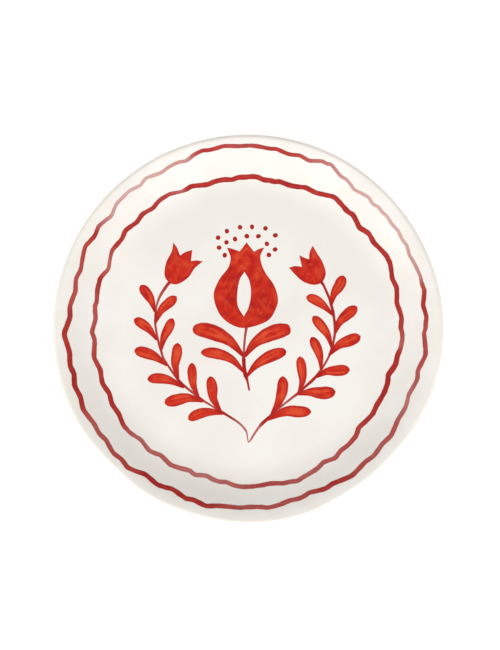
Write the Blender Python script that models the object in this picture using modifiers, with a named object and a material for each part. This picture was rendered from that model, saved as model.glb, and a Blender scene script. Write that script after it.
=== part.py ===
"""A hand painted ceramic dinner plate: a thrown clay body, its glaze, and every stroke of its painting.

The plate is turned about the Z axis and stands on its foot ring at z = 0. The painting is a pomegranate
between two flowering branches, inside two wavy lines that follow the wall. +Y points to its top.
Every stroke is a thin plate of its own. The paint, the glaze and the clay lie a small gap apart.
"""

import math

import bmesh
import bpy
from mathutils import Vector
from mathutils.geometry import interpolate_bezier, intersect_point_line

MM = 0.001

# The plate
PLATE_RADIUS = 135 * MM
FLOOR_RADIUS = 90 * MM  # flat as far as this
STEEPEST_RADIUS = 121 * MM  # where the wall is steepest
STEEPEST_SLOPE = 0.62
LIP_SLOPE_SHARE = 0.45  # what is left of that slope at the lip
FLOOR_HEIGHT = 10.8 * MM  # the glazed floor above the table
FLOOR_THICKNESS = 5.8 * MM
LIP_THICKNESS = 4.6 * MM
TURNED_STEPS = 60
WALL_STEPS = 6  # down the face, and half as many down the back
LIP_STEPS = 4
FILLET_STEPS = 2

# The foot ring, measured on its glazed sides
FOOT_OUTSIDE = 77 * MM
FOOT_INSIDE = 69.2 * MM
FOOT_FILLET = 2.5 * MM
FOOT_CHAMFER = 0.8 * MM
BARE_FOOT_HEIGHT = 1.4 * MM  # wiped clean of glaze below this

# The layers
GAP = 0.3 * MM
GLAZE = 0.5 * MM
PAINT = 0.3 * MM

# The painted lines
OUTER_LINE_WIDTH = 2.9 * MM
INNER_LINE_WIDTH = 3.1 * MM
BRANCH_WIDTH = 1.6 * MM
STEM_WIDTH = 1.9 * MM
DOT_RADIUS = 1.65 * MM
DOT_SIDES = 12

# The outline of a leaf, as shares of its width
LEAF_ROUND_END = 0.65  # how far from its tip it is fullest
LEAF_TIP = 0.1
LEAF_ROOT = 0.2
LEAF_TAPER = 1.4  # a higher power keeps it full for longer

WHITE_GLAZE = (0.90, 0.86, 0.80)
CLAY = (0.78, 0.68, 0.55)
RED = (0.62, 0.035, 0.018)

# Where each wavy line turns, outward and inward by turns: degrees from +X round to the left, and
# millimetres from the middle.
OUTER_TURNS = (
    (0, 123.4), (3.5, 124.5), (7.5, 123.3), (12, 125.7), (14.5, 125.3), (17, 125.6), (20.5, 124.9),
    (24.5, 124), (27.5, 125.2), (30, 124.6), (33, 125.3), (36, 124.5), (39, 124.9), (41, 124.5),
    (43, 124.8), (45, 123.9), (47.5, 124.9), (52.5, 123.1), (56.5, 125.3), (59, 125.7), (63, 128.5),
    (66, 128.3), (70, 125.8), (73.5, 127), (77, 126), (81, 127.8), (84, 127.3), (89, 129.2), (93, 128),
    (97.5, 129.7), (101.5, 128.1), (104.5, 129), (110, 126.1), (113.5, 126.7), (119, 125.6),
    (124, 127.2), (127, 125.9), (131, 127.2), (136.5, 126.8), (140.5, 124.2), (145.5, 126.4),
    (149, 125.3), (153.5, 127), (160.5, 123.9), (164, 124.7), (168, 123.2), (173, 124.8), (176.5, 124.2),
    (182, 127.3), (188, 125.1), (192, 126), (195, 124.9), (198.5, 126.5), (202.5, 125.6), (206.5, 127.1),
    (212, 125.5), (215.5, 126.1), (218.5, 125.2), (223, 126.9), (226, 126.1), (229.5, 127.2),
    (235, 123.8), (240, 124.9), (245, 123.3), (250, 125.1), (252.5, 124.7), (257, 126.1), (263.5, 124),
    (267.5, 124.8), (272, 123.3), (276.5, 125.3), (283.5, 122.9), (287, 123.1), (290.5, 121.7),
    (295.5, 123.3), (298.5, 122.6), (305, 124.8), (311, 123.3), (314.5, 124.1), (319, 123), (323, 123.9),
    (328.5, 122), (333.5, 122.3), (337.5, 121), (343, 122.8), (346, 121.9), (351.5, 124.7), (358, 122.8),
)
INNER_TURNS = (
    (0.5, 107.4), (4.5, 108.1), (10, 106.4), (15.5, 108.5), (19.5, 107.8), (25, 110.3), (28, 110.4),
    (34.5, 108), (38.5, 108.8), (42.5, 106.9), (47.5, 109.6), (50.5, 109.5), (57, 111.4), (63.5, 108.2),
    (68, 108.4), (73.5, 106.5), (78, 107.5), (81.5, 106.2), (86.5, 108.4), (91, 108.7), (96, 107.1),
    (101, 107.9), (105.5, 106.8), (111.5, 108.9), (115.5, 108.4), (120, 110.6), (124, 110.5),
    (128, 109.2), (132.5, 110.2), (136, 109.2), (141, 110.9), (144.5, 109.5), (150, 110.5),
    (156.5, 107.3), (161, 109.8), (165, 109.4), (169.5, 108.1), (171.5, 108.6), (176, 107.3),
    (181, 109), (184.5, 107.8), (190.5, 109.4), (195.5, 107.3), (200.5, 108.5), (205, 107), (209, 108.4),
    (213.5, 108), (218, 109.8), (221.5, 109.5), (226, 107.6), (231, 109), (235.5, 107.3), (240.5, 108.8),
    (247.5, 106.9), (250.5, 107.9), (254.5, 106.4), (259, 108.4), (262, 107.9), (267.5, 110.5),
    (273, 109.8), (278, 108.8), (283, 110.1), (288, 111), (292.5, 109.7), (296, 108.8), (299.5, 107),
    (304, 108.4), (307.5, 106.8), (311.5, 106.9), (315, 106.2), (318.5, 103.8), (325.5, 105.4),
    (329.5, 104.7), (335, 105.2), (338.5, 104.9), (342, 103.6), (346.5, 106.3), (350, 106.5),
    (353, 107.9), (356.5, 108.5),
)

# The outlines below are in millimetres on the floor. A third value of 1 marks a sharp corner.
FRUIT_OUTLINE = (
    (-14.8, 57.8, 1), (-12.6, 57.8, 0), (-5.8, 55.5, 1), (-1, 62, 1), (4.3, 55.3, 1), (8, 57.3, 0),
    (11.7, 58.2, 1), (9.6, 54.4, 0), (8.8, 51.3, 0), (9.8, 46, 0), (12.6, 39.9, 0), (18.3, 31.6, 0),
    (21.1, 22.8, 0), (20, 15.3, 0), (13.8, 6.1, 0), (-1.5, 1, 0), (-12.3, 3.8, 0), (-20.4, 11.5, 0),
    (-24.2, 24.3, 0), (-20.3, 35.4, 0), (-14, 43.8, 0), (-12.3, 50.4, 0), (-13.2, 54, 0),
)
FRUIT_OPENING = (
    (-2.4, 40.8, 1), (1, 34.2, 0), (2.1, 25, 0), (0.4, 15.7, 0), (-2.9, 9.2, 1), (-7, 16.5, 0),
    (-7.5, 25, 0), (-5.8, 35.1, 0),
)
LEFT_TULIP_OUTLINE = (
    (-52.9, 61.9, 1), (-50.2, 58.3, 0), (-49.2, 55.8, 0), (-47.9, 52.6, 1), (-44.4, 54.9, 0),
    (-39.3, 56.6, 1), (-40.2, 48.6, 1), (-36.3, 49, 0), (-31.8, 48.3, 1), (-37.5, 43.4, 0),
    (-42.1, 36.8, 0), (-49.5, 32.1, 0), (-55.3, 33.1, 0), (-58.9, 38.5, 0), (-57.8, 47.5, 0),
    (-53.9, 55.6, 0),
)
RIGHT_TULIP_OUTLINE = (
    (45.8, 59.6, 1), (44, 56, 0), (43.3, 53, 0), (43.3, 50, 1), (40.8, 50.6, 0), (36.2, 52.8, 1),
    (38.1, 44.5, 1), (33.1, 45, 0), (28.8, 43.8, 1), (33.5, 38.7, 0), (36.9, 35.4, 0), (40.8, 33, 0),
    (47, 31.6, 0), (52.4, 33.6, 0), (55, 40, 0), (52.7, 47.9, 0), (48.9, 54.2, 0),
)
STEM_ROUTE = ((-0.8, 0.4), (-2.2, -6.6), (-2.9, -16.6), (-2.7, -25.8), (-1.2, -32.8), (1, -43.2))
LEFT_BRANCH_ROUTE = (
    (-57.3, 31.4), (-62, 24), (-64.6, 15.2), (-65.1, 2.9), (-63, -8.3), (-59.1, -20.5), (-53.5, -29.2),
    (-47.1, -37.4), (-38.5, -44.6), (-26, -53.3), (-15, -60), (-6.5, -65.5), (-0.5, -71.5), (0.8, -77.6),
)
RIGHT_BRANCH_ROUTE = (
    (53.2, 31.6), (57.6, 21.5), (60.4, 9.7), (61.3, -0.5), (59.9, -9.6), (55.4, -21.9), (49.5, -31),
    (40.4, -40.1), (31, -48), (22, -55.2), (13, -63.5), (7.5, -69), (1.3, -79.5),
)

# Each leaf is one stroke of the brush, from its round end to its root: its width, then its route.
STEM_LEAVES = {
    "stem_leaf_upper_left": (11.2, (-39, 0.1), (-27.7, -1.1), (-13.5, -7.7), (-3.2, -18.8)),
    "stem_leaf_upper_right": (11.2, (30.1, 0.5), (17.5, -2.4), (5.6, -8.9), (-2.4, -19.3)),
    "stem_leaf_lower_left": (7.9, (-33.2, -16.2), (-22.3, -16.9), (-11.3, -21.2), (-2.2, -30.8)),
    "stem_leaf_lower_right": (8.6, (27, -15.2), (16, -18.8), (6, -24.9), (-1, -33.4)),
}
LEFT_OUTER_LEAVES = (
    (7.3, (-76, 31.3), (-72.4, 27), (-68.2, 20.5), (-65.3, 12)),
    (7.1, (-80.2, 7.4), (-75, 4.4), (-69.3, -0.2), (-63.8, -7.8)),
    (8.2, (-79.9, -14.6), (-72.3, -16.4), (-65, -19.4), (-56.2, -25.6)),
    (7.5, (-70.6, -35.2), (-63, -34.4), (-54.5, -36), (-44.6, -41)),
    (8.5, (-58.5, -51.8), (-51, -49.9), (-42, -48.2), (-31, -50.7)),
    (7.5, (-41.7, -63.6), (-35.5, -59.8), (-27, -58), (-15.5, -59.2)),
)
LEFT_INNER_LEAVES = (
    (7.4, (-50.3, 23.4), (-55.5, 18.9), (-61, 13.6), (-65, 4.7)),
    (7.1, (-53, 8), (-55.7, 1.2), (-59.2, -6), (-61.1, -15.5)),
    (7.5, (-49.5, -9.4), (-49.9, -17), (-51, -25), (-48.7, -35.3)),
    (6.7, (-39.3, -23.4), (-39.1, -32), (-38, -40), (-34, -48.5)),
    (7.7, (-26.5, -32.9), (-25.1, -41), (-24, -49), (-18.6, -58)),
)
RIGHT_OUTER_LEAVES = (
    (7.9, (67.6, 38.3), (64.7, 31.5), (60.6, 24.8), (58.7, 17)),
    (8.1, (77, 16.2), (70.2, 10.8), (64.6, 5.2), (61.2, -3)),
    (8.4, (79.3, -4.7), (71.3, -7.9), (64, -11.1), (57.3, -18)),
    (7.9, (71.6, -28.2), (63, -29), (55, -29.8), (47.8, -33.8)),
    (9.1, (61.5, -43.8), (52.5, -44.7), (43.5, -44.1), (35, -45.6)),
    (8.3, (44.4, -57.8), (36, -57.8), (26, -57.8), (14.5, -62.3)),
)
RIGHT_INNER_LEAVES = (
    (7.2, (41, 23.1), (47.3, 21), (54, 16.2), (60, 9.8)),
    (7.2, (45.6, 9.4), (51, 3.2), (56.2, -4.2), (58.8, -13)),
    (7.1, (44.6, -5.3), (48.9, -13.9), (50.9, -21), (51.2, -28.5)),
    (7.1, (36.3, -18.9), (37.8, -28), (38.2, -36.5), (35.2, -45)),
    (8.1, (24.4, -32.8), (24.2, -42), (21.5, -51), (16, -60.5)),
)
# The stamens above the crown of the fruit, from the left of the top row round and down.
STAMENS = (
    (-14.9, 69.9), (-5.6, 72.7), (2.9, 72.9), (12.4, 71.9), (19.4, 66.9), (-21.1, 65.2), (-9.1, 64.2),
    (-0.8, 66.3), (7.4, 66.3), (-15.2, 61.9), (13.4, 60.8), (-20.4, 58.1), (19.2, 56.8), (-16.4, 52.7),
    (14.8, 52.9),
)

for leftover in list(bpy.data.objects):
    bpy.data.objects.remove(leftover)

plate = bpy.data.collections.new("hand_painted_plate")
bpy.context.scene.collection.children.link(plate)


def new_material(name, colour, roughness):
    material = bpy.data.materials.new(name)
    material.use_nodes = True
    shader = material.node_tree.nodes["Principled BSDF"]
    shader.inputs["Base Color"].default_value = (*colour, 1)
    shader.inputs["Roughness"].default_value = roughness
    return material


clay = new_material("bare_clay", CLAY, 0.85)
glaze = new_material("white_glaze", WHITE_GLAZE, 0.15)
paint = new_material("red_paint", RED, 0.2)


# ---- The turned plate ----


def face_height(radius):
    """The height of the glazed upper face. Its slope grows to the steepest ring and eases off to the lip."""
    if radius <= FLOOR_RADIUS:
        return FLOOR_HEIGHT
    rise = STEEPEST_RADIUS - FLOOR_RADIUS
    along = min(radius - FLOOR_RADIUS, rise)
    height = STEEPEST_SLOPE * (along / 2 - rise * math.sin(math.pi * along / rise) / (2 * math.pi))
    beyond = max(radius - STEEPEST_RADIUS, 0)
    run = PLATE_RADIUS - STEEPEST_RADIUS
    eased = beyond / 2 - run * math.sin(math.pi * beyond / run) / (2 * math.pi)
    return FLOOR_HEIGHT + height + STEEPEST_SLOPE * (beyond - (1 - LIP_SLOPE_SHARE) * eased)


def face_angle(radius):
    step = 0.01 * MM
    return math.atan2(face_height(radius + step) - face_height(radius - step), 2 * step)


def thickness(radius):
    """The wall thins evenly from the floor's edge to the lip."""
    share = max(radius - FLOOR_RADIUS, 0) / (PLATE_RADIUS - FLOOR_RADIUS)
    return FLOOR_THICKNESS + share * (LIP_THICKNESS - FLOOR_THICKNESS)


def in_wall(radius, depth):
    """The point this deep in the wall, square to its upper face, as (radius, height)."""
    angle = face_angle(radius)
    return radius + math.sin(angle) * depth, face_height(radius) - math.cos(angle) * depth


def arc(centre, radius, start, end, steps):
    angles = [math.radians(start + (end - start) * i / steps) for i in range(steps + 1)]
    return [(centre[0] + radius * math.cos(a), centre[1] + radius * math.sin(a)) for a in angles]


# Where the face meets the round lip, and the rings of the wall as far as that
LIP_EDGE = PLATE_RADIUS - LIP_THICKNESS / 2 * (1 + math.sin(face_angle(PLATE_RADIUS)))
WALL_RADII = [FLOOR_RADIUS + (LIP_EDGE - FLOOR_RADIUS) * i / WALL_STEPS for i in range(WALL_STEPS + 1)]


def plate_outline(inset):
    """The section of the plate from the middle of its face to the side of its foot, this far inside its skin."""
    points = [(0, FLOOR_HEIGHT - inset)] + [in_wall(r, inset) for r in WALL_RADII]
    half = thickness(LIP_EDGE) / 2
    tilt = math.degrees(face_angle(LIP_EDGE))
    points += arc(in_wall(LIP_EDGE, half), half - inset, 90 + tilt, tilt - 90, LIP_STEPS)[1:-1]
    points += [in_wall(r, thickness(r) - inset) for r in WALL_RADII[::-2]]
    centre = (FOOT_OUTSIDE + FOOT_FILLET, FLOOR_HEIGHT - FLOOR_THICKNESS - FOOT_FILLET)
    return points + arc(centre, FOOT_FILLET + inset, 90, 180, FILLET_STEPS)


def recess_outline(inset):
    """The section of the hollow inside the foot, from the side of the foot to the middle of its ceiling."""
    ceiling = FLOOR_HEIGHT - FLOOR_THICKNESS
    centre = (FOOT_INSIDE - FOOT_FILLET, ceiling - FOOT_FILLET)
    return arc(centre, FOOT_FILLET + inset, 0, 90, FILLET_STEPS) + [(0, ceiling + inset)]


def turned(name, profile, material):
    """Turns a profile, given down its outer side, about the Z axis."""
    mesh = bpy.data.meshes.new(name)
    shape = bmesh.new()
    corners = [shape.verts.new((r, 0, z)) for r, z in profile]
    for first, second in zip(corners, corners[1:]):
        shape.edges.new((first, second))
    if profile[0][0] > 0:
        shape.edges.new((corners[-1], corners[0]))
    shape.to_mesh(mesh)
    shape.free()
    piece = bpy.data.objects.new(name, mesh)
    plate.objects.link(piece)
    screw = piece.modifiers.new("turn", "SCREW")
    screw.steps = screw.render_steps = TURNED_STEPS
    screw.use_merge_vertices = True
    screw.merge_threshold = 0.00005
    screw.use_smooth_shade = True
    mesh.materials.append(material)
    return piece


def clay_body():
    inset = GAP + GLAZE
    outside = FOOT_OUTSIDE - inset
    inside = FOOT_INSIDE + inset
    foot = [(outside, FOOT_CHAMFER), (outside - FOOT_CHAMFER, 0)]
    foot += [(inside + FOOT_CHAMFER, 0), (inside, FOOT_CHAMFER)]
    turned("clay_body", plate_outline(inset) + foot + recess_outline(inset), clay)


def glaze_coat():
    skin = plate_outline(0) + [(FOOT_OUTSIDE, BARE_FOOT_HEIGHT)]
    back = plate_outline(GLAZE) + [(FOOT_OUTSIDE - GLAZE, BARE_FOOT_HEIGHT)]
    turned("glaze_coat", skin + back[::-1], glaze)


def foot_recess_glaze():
    skin = [(FOOT_INSIDE, BARE_FOOT_HEIGHT)] + recess_outline(0)
    back = [(FOOT_INSIDE + GLAZE, BARE_FOOT_HEIGHT)] + recess_outline(GLAZE)
    turned("foot_recess_glaze", back[::-1] + skin, glaze)


# ---- The painting ----


def painted(name, splines):
    """Flat outlines of paint, each a closed loop of (x, y, is_corner), laid a gap above the glaze."""
    outline = bpy.data.curves.new(name, "CURVE")
    outline.dimensions = "2D"
    outline.fill_mode = "BOTH"
    outline.extrude = PAINT / 2
    outline.resolution_u = 4
    for points in splines:
        spline = outline.splines.new("BEZIER")
        spline.bezier_points.add(len(points) - 1)
        spline.use_cyclic_u = True
        for point, (x, y, is_corner) in zip(spline.bezier_points, points):
            point.co = (x, y, 0)
            handle = "VECTOR" if is_corner else "AUTO"
            point.handle_left_type = point.handle_right_type = handle
    drawn = bpy.data.objects.new(name + "_outline", outline)
    plate.objects.link(drawn)
    graph = bpy.context.evaluated_depsgraph_get()
    mesh = bpy.data.meshes.new_from_object(drawn.evaluated_get(graph))
    bpy.data.objects.remove(drawn)
    shape = bmesh.new()
    shape.from_mesh(mesh)
    bmesh.ops.remove_doubles(shape, verts=shape.verts, dist=0.00001)
    for corner in shape.verts:
        corner.co.z += face_height(corner.co.xy.length) + GAP + PAINT / 2
    shape.to_mesh(mesh)
    shape.free()
    mesh.materials.clear()
    mesh.materials.append(paint)
    mesh.name = name
    plate.objects.link(bpy.data.objects.new(name, mesh))


def in_metres(outline):
    return [(x * MM, y * MM, is_corner) for x, y, is_corner in outline]


def smooth_route(points, steps):
    """A route through the points, in millimetres, that turns evenly at each of them, in metres."""
    points = [Vector((x, y, 0)) * MM for x, y in points]
    ends = [2 * points[0] - points[1], *points, 2 * points[-1] - points[-2]]
    tangents = [(after - before) / 6 for before, after in zip(ends, ends[2:])]
    route = [points[0]]
    for i in range(len(points) - 1):
        knots = (points[i], points[i] + tangents[i], points[i + 1] - tangents[i + 1], points[i + 1])
        route += interpolate_bezier(*knots, steps + 1)[1:]
    return route


def ribbon(route, half_widths):
    """The outline of a stroke along a route. Its points are all corners, because the route is smooth."""
    left, right = [], []
    ends = [route[0], *route, route[-1]]
    for here, before, after, half in zip(route, ends, ends[2:], half_widths):
        side = Vector((before.y - after.y, after.x - before.x, 0)).normalized() * half
        left.append((*(here + side).xy, 1))
        right.append((*(here - side).xy, 1))
    return left[::-1] + right


def line(name, points, width):
    """A thin line of even width with blunt ends."""
    route = smooth_route(points, 3)
    painted(name, [ribbon(route, [width / 2] * len(route))])
    return route


def leaf_half_width(at, length, width):
    """Half the width of a leaf at this distance from its tip: a round end, and then a taper to the root."""
    fullest = LEAF_ROUND_END * width
    if at < fullest:
        return max(width / 2 * math.sqrt(1 - (1 - at / fullest) ** 2), LEAF_TIP * width)
    thinned = ((at - fullest) / (length - fullest)) ** LEAF_TAPER
    return width / 2 * (LEAF_ROOT + (1 - LEAF_ROOT) * math.cos(math.pi / 2 * thinned) ** 2)


def distance_to(route, point):
    nearest = []
    for start, end in zip(route, route[1:]):
        on_line, share = intersect_point_line(point, start, end)
        on_line = start if share < 0 else end if share > 1 else on_line
        nearest.append((on_line - point).length)
    return min(nearest)


def leaf(name, width, points, branch, branch_width):
    """One leaf stroke. It stops where it would touch the line that it grows from."""
    width *= MM
    route = smooth_route(points, 5)
    # Three extra points carry the round end, where the width changes fastest.
    route[1:2] = [route[0].lerp(route[1], share) for share in (0.15, 0.45, 1)]
    length = sum((end - start).length for start, end in zip(route, route[1:]))
    kept, halves = [], []
    at = 0
    for before, point in zip([route[0], *route], route):
        at += (point - before).length
        half = leaf_half_width(at, length, width)
        if distance_to(branch, point) < half + branch_width / 2 + GAP:
            break
        kept.append(point)
        halves.append(half)
    painted(name, [ribbon(kept, halves)])


def wavy_line(name, turns, width):
    """A line round the wall through its turns, with a point half way between each two of them."""
    turns = [(angle, radius * MM) for angle, radius in turns]
    following = [*turns[1:], (turns[0][0] + 360, turns[0][1])]
    middle = []
    for (angle, radius), (next_angle, next_radius) in zip(turns, following):
        middle += [(angle, radius), ((angle + next_angle) / 2, (radius + next_radius) / 2)]
    edges = []
    for side in (0.5, -0.5):
        edge = []
        for angle, radius in middle:
            turn = math.radians(angle)
            reach = radius + side * width
            edge.append((reach * math.cos(turn), reach * math.sin(turn), 1))
        edges.append(edge)
    painted(name, edges)


def stamen_dot(name, x, y):
    angles = [2 * math.pi * i / DOT_SIDES for i in range(DOT_SIDES)]
    dot = [(x * MM + DOT_RADIUS * math.cos(a), y * MM + DOT_RADIUS * math.sin(a), 1) for a in angles]
    painted(name, [dot])


clay_body()
glaze_coat()
foot_recess_glaze()
wavy_line("outer_wavy_line", OUTER_TURNS, OUTER_LINE_WIDTH)
wavy_line("inner_wavy_line", INNER_TURNS, INNER_LINE_WIDTH)
painted("pomegranate_fruit", [in_metres(FRUIT_OUTLINE), in_metres(FRUIT_OPENING)])
painted("left_tulip", [in_metres(LEFT_TULIP_OUTLINE)])
painted("right_tulip", [in_metres(RIGHT_TULIP_OUTLINE)])
stem = line("pomegranate_stem", STEM_ROUTE, STEM_WIDTH)
for leaf_name, (leaf_width, *leaf_route) in STEM_LEAVES.items():
    leaf(leaf_name, leaf_width, leaf_route, stem, STEM_WIDTH)
for side, branch_route, outer_leaves, inner_leaves in (
    ("left", LEFT_BRANCH_ROUTE, LEFT_OUTER_LEAVES, LEFT_INNER_LEAVES),
    ("right", RIGHT_BRANCH_ROUTE, RIGHT_OUTER_LEAVES, RIGHT_INNER_LEAVES),
):
    branch_line = line(f"{side}_branch", branch_route, BRANCH_WIDTH)
    for row, leaves in (("outer", outer_leaves), ("inner", inner_leaves)):
        for number, (leaf_width, *leaf_route) in enumerate(leaves, 1):
            leaf(f"{side}_{row}_leaf_{number}", leaf_width, leaf_route, branch_line, BRANCH_WIDTH)
for number, (dot_x, dot_y) in enumerate(STAMENS, 1):
    stamen_dot(f"stamen_dot_{number:02d}", dot_x, dot_y)
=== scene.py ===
"""The looks of a hand painted ceramic dinner plate, made in the order that a potter makes it.

The clay is thrown, the glaze is poured, the strokes of red colour are laid on the glaze one by one, and
the fired plate is put under soft light. The Z axis is the plate's own, and +Y points to the top of its
painting. Every thickness of glaze and of paint lies on the one below it.
"""

import math

import bpy
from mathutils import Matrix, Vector
from mathutils.geometry import delaunay_2d_cdt, interpolate_bezier
from mathutils.kdtree import KDTree


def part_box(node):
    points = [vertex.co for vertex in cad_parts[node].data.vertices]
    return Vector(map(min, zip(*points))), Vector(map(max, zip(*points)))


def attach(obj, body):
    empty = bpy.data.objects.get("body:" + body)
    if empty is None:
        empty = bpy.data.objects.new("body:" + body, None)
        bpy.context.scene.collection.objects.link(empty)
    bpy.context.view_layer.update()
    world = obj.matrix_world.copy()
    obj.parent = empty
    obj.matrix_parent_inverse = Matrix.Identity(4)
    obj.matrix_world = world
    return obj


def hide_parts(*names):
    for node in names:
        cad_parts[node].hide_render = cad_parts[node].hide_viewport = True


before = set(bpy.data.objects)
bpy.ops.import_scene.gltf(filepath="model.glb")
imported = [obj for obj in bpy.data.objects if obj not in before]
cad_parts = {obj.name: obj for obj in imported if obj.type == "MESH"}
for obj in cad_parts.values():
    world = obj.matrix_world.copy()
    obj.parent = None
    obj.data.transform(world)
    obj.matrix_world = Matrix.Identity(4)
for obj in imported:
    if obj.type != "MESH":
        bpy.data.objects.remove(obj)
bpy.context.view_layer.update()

scene = bpy.context.scene

# ---- The clay body ----
# A coupe plate thrown on the wheel from buff stoneware clay, with its foot ring turned out of the same
# lump. Only the bare foot shows: the rest is under the glaze. No thrown plate is quite round or level.

MM = 0.001
CAD_GAP = 0.3 * MM  # the CAD layers lie this far apart, and the real ones touch
CAD_GLAZE = 0.5 * MM
FOOT_WIDTH = 7.8 * MM  # with the glaze on both its sides

plate_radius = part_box("glaze_coat")[1].x
floor_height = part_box("pomegranate_fruit")[0].z - CAD_GAP
foot_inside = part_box("foot_recess_glaze")[1].x - CAD_GLAZE
foot_outside = foot_inside + FOOT_WIDTH
recess_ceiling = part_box("foot_recess_glaze")[1].z - CAD_GLAZE
bare_foot_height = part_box("glaze_coat")[0].z

FLOOR_RADIUS = 90 * MM  # flat as far as this
STEEPEST_RADIUS = 121 * MM  # where the wall is steepest
STEEPEST_SLOPE = 0.62
LIP_SLOPE_SHARE = 0.45  # what is left of that slope at the lip
LIP_THICKNESS = 4.6 * MM
FOOT_FILLET = 2.5 * MM
FOOT_ROUNDING = 1.2 * MM
GLAZE_THICKNESS = 0.45 * MM
UNDER_GLAZE = 0.05 * MM  # keeps the clay's surface just off the back of the glaze

# How far the lip leaves a true circle, as percent of its radius, for each angle from +X round to the left.
LIP_WANDER = (
    (0, 0.5), (8, 0.7), (30, 0.45), (60, 0.85), (80, 1), (100, 1.15), (126, 0.85), (150, 0.7),
    (165, 0.4), (180, 0.4), (192, 0.35), (207, 0.65), (225, -0.35), (241, 0.5), (253, 0.2), (275, 0.75),
    (292, 0.1), (308, -0.75), (325, -0.1), (336, 0.25), (345, 0.35), (352, 0.6), (360, 0.5),
)


def colour(red, green, blue):
    """A colour given as on a screen, from 0 to 255, as a node takes it."""
    shares = [value / 255 for value in (red, green, blue)]
    return (*[s / 12.92 if s < 0.04045 else ((s + 0.055) / 1.055) ** 2.4 for s in shares], 1)


class Wire:
    """What comes out of a node. Arithmetic on it adds Math nodes."""

    def __init__(self, bench, socket):
        self.bench = bench
        self.socket = socket

    def out(self, name):
        """Another output of the same node."""
        return Wire(self.bench, self.socket.node.outputs[name])

    def __add__(self, other):
        return self.bench.maths("ADD", self, other)

    def __sub__(self, other):
        return self.bench.maths("SUBTRACT", self, other)

    def __rsub__(self, other):
        return self.bench.maths("SUBTRACT", other, self)

    def __mul__(self, other):
        return self.bench.maths("MULTIPLY", self, other)

    def __truediv__(self, other):
        return self.bench.maths("DIVIDE", self, other)

    def __pow__(self, other):
        return self.bench.maths("POWER", self, other)

    def __abs__(self):
        return self.bench.maths("ABSOLUTE", self)

    __radd__ = __add__
    __rmul__ = __mul__

    def between(self, low, high):
        """How far this value has gone from low to high: 0 before, 1 after, and smooth at both ends."""
        sockets = {"Value": self, "From Min": low, "From Max": high}
        return self.bench.node("ShaderNodeMapRange", {"interpolation_type": "SMOOTHSTEP"}, sockets)


class Bench:
    """A node tree, and the one method that adds a node to it."""

    def __init__(self, tree):
        self.tree = tree

    def node(self, kind, settings=(), sockets=(), output=0):
        """Adds a node: its settings first, then the values or wires of its sockets."""
        added = self.tree.nodes.new(kind)
        for name, value in dict(settings).items():
            if name == "stations":
                line = added.mapping.curves[0]
                added.mapping.clip_min_y = -1
                for place in value[1:-1]:
                    line.points.new(*place)
                for point, place in zip(line.points, value):
                    point.location = place
                added.mapping.update()
            else:
                setattr(added, name, value)
        for key, value in dict(sockets).items():
            if isinstance(value, Wire):
                self.tree.links.new(value.socket, added.inputs[key])
            else:
                added.inputs[key].default_value = value
        return Wire(self, added.outputs[output]) if added.outputs else None

    def maths(self, operation, *values):
        return self.node("ShaderNodeMath", {"operation": operation}, dict(enumerate(values)))

    def mixed(self, share, first, second):
        """A colour between two others."""
        return self.node("ShaderNodeMix", {"data_type": "RGBA"}, {0: share, 6: first, 7: second}, 2)

    def noise(self, place, scale, detail=2.0, seed=None):
        """Soft random values from 0 to 1, about this many to the metre."""
        sockets = {"Vector": place, "Scale": scale, "Detail": detail}
        if seed is None:
            return self.node("ShaderNodeTexNoise", {}, sockets)
        return self.node("ShaderNodeTexNoise", {"noise_dimensions": "4D"}, {**sockets, "W": seed})

    def vector(self, x, y, z):
        return self.node("ShaderNodeCombineXYZ", {}, {"X": x, "Y": y, "Z": z})

    def split(self, place):
        """The X, Y and Z of a vector."""
        parts = self.node("ShaderNodeSeparateXYZ", {}, {0: place})
        return parts, parts.out("Y"), parts.out("Z")


def new_material(name, roughness, coat=0.0):
    """An empty finish, with its bench and its shader."""
    material = bpy.data.materials.new(name)
    material.use_nodes = True
    shader = material.node_tree.nodes["Principled BSDF"]
    shader.inputs["Roughness"].default_value = roughness
    shader.inputs["Coat Weight"].default_value = coat
    return material, Bench(material.node_tree), shader


def new_tree(name, inputs):
    """A geometry tree with these named inputs, its bench, and the wires that bring them in."""
    tree = bpy.data.node_groups.new(name, "GeometryNodeTree")
    for label, kind in {"Geometry": "Geometry", **inputs}.items():
        tree.interface.new_socket(label, in_out="INPUT", socket_type="NodeSocket" + kind)
    tree.interface.new_socket("Geometry", in_out="OUTPUT", socket_type="NodeSocketGeometry")
    bench = Bench(tree)
    return bench, bench.node("NodeGroupInput")


def end_tree(bench, geometry, material):
    """Makes real geometry of the result, smooth and with its finish, and sends it out."""
    real = bench.node("GeometryNodeRealizeInstances", {}, {"Geometry": geometry})
    smooth = bench.node("GeometryNodeSetShadeSmooth", {}, {"Geometry": real})
    finished = bench.node("GeometryNodeSetMaterial", {}, {"Geometry": smooth, "Material": material})
    bench.node("NodeGroupOutput", {}, {"Geometry": finished})


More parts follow.
